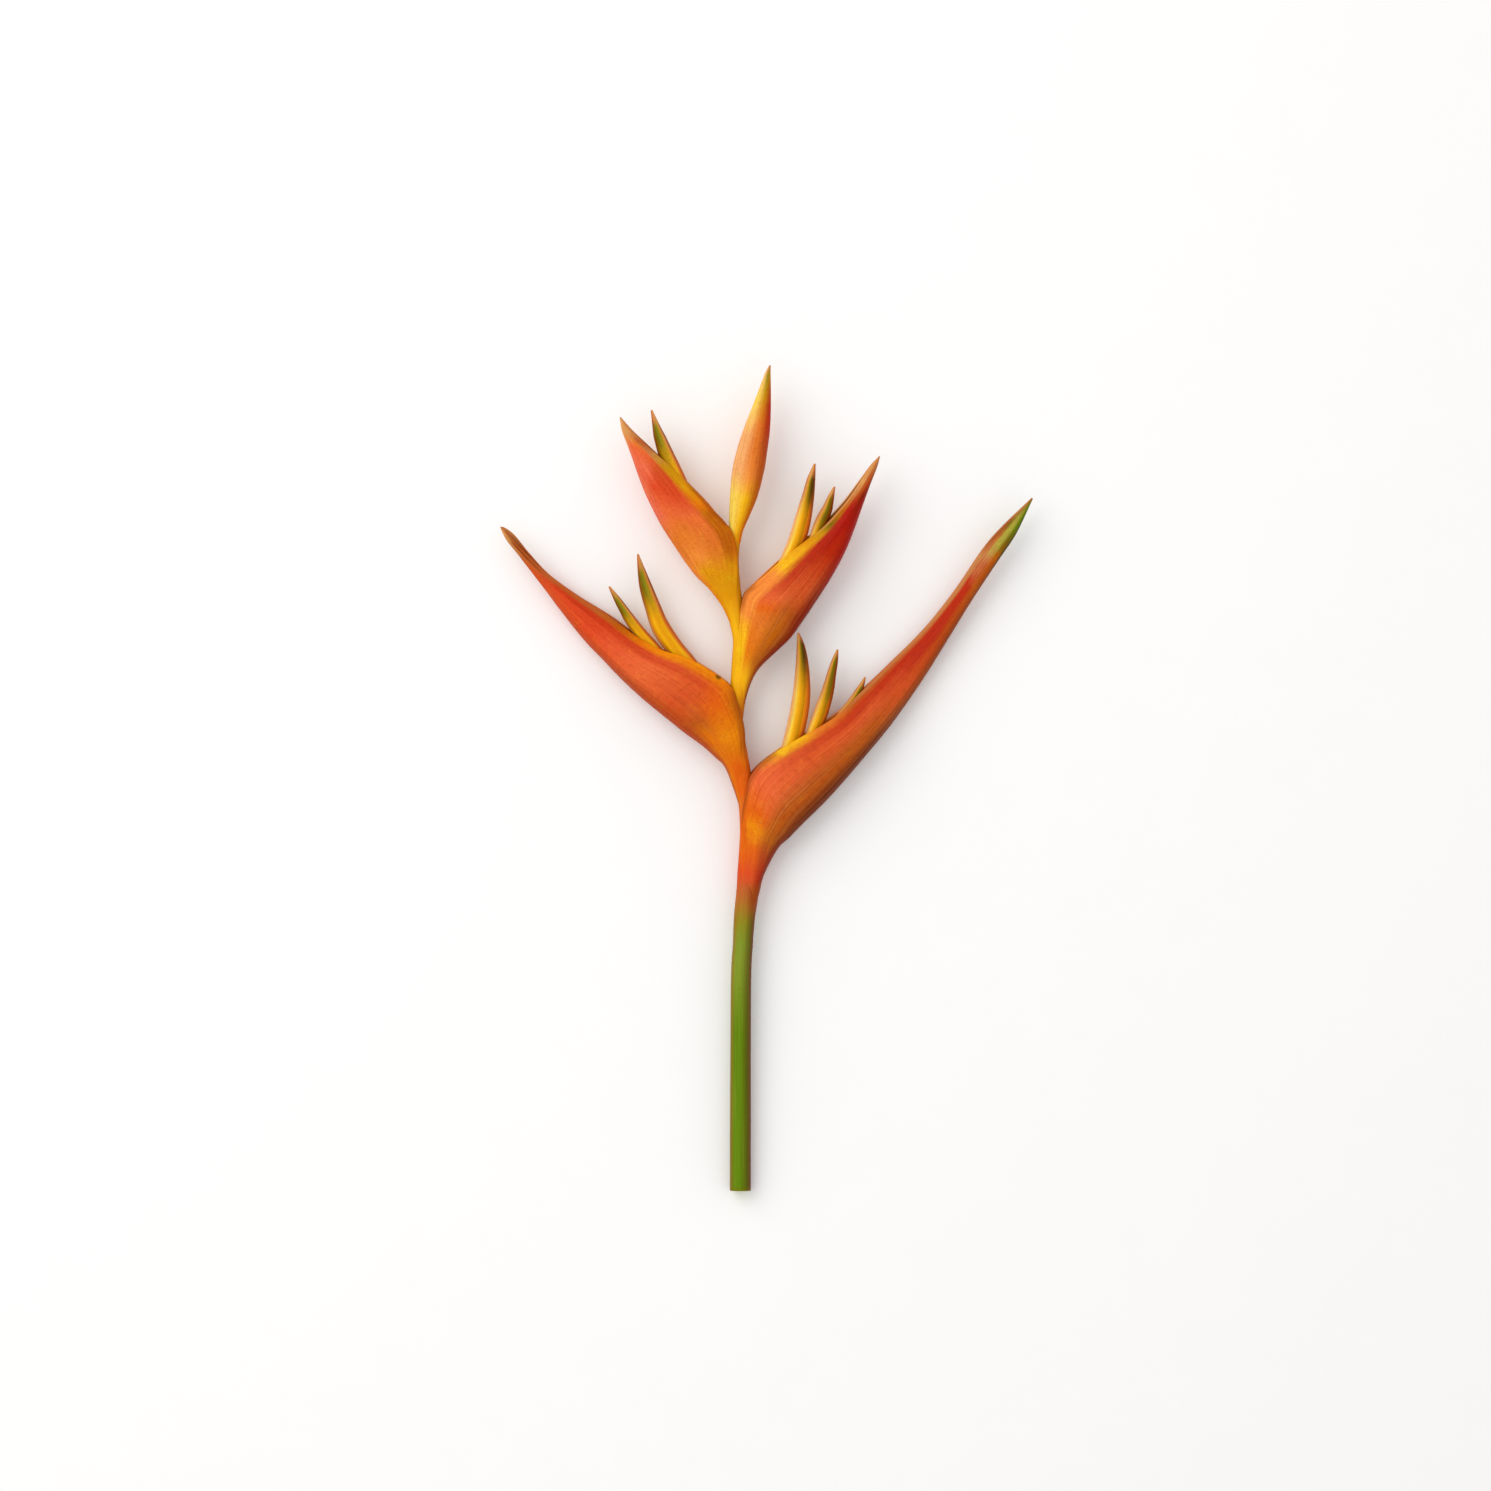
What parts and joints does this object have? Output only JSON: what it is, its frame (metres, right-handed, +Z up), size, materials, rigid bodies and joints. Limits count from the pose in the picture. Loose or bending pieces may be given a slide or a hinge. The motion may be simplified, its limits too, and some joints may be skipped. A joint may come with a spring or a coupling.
{
  "type": "parrot heliconia flower",
  "caption": "Cut parrot heliconia bloom lying on its side: orange boat-shaped bracts in two ranks on a leafless stem, with tube-shaped flowers standing out of them.",
  "frame": {"origin": "middle of the flower's outline, on the surface that it lies on", "axes": "+X to the right as the flower is seen from above, +Y along the stem towards the tip of the bloom, +Z up out of the surface"},
  "size_m": [0.1812, 0.2808, 0.0172],
  "materials": {
    "stem": "satin",
    "bract_1": "satin",
    "bract_2": "satin",
    "bract_3": "satin",
    "bract_4": "satin",
    "bract_5": "satin",
    "flower": "satin"
  },
  "bodies": {
    "root": {"stem": "stem", "bract_1": "bract_1", "bract_2": "bract_2", "bract_3": "bract_3", "bract_4": "bract_4", "bract_5": "bract_5", "flower_1a": "flower", "flower_1b": "flower", "flower_1c": "flower", "flower_2a": "flower", "flower_2b": "flower", "flower_3a": "flower", "flower_3b": "flower", "flower_4a": "flower"}
  },
  "joints": []
}
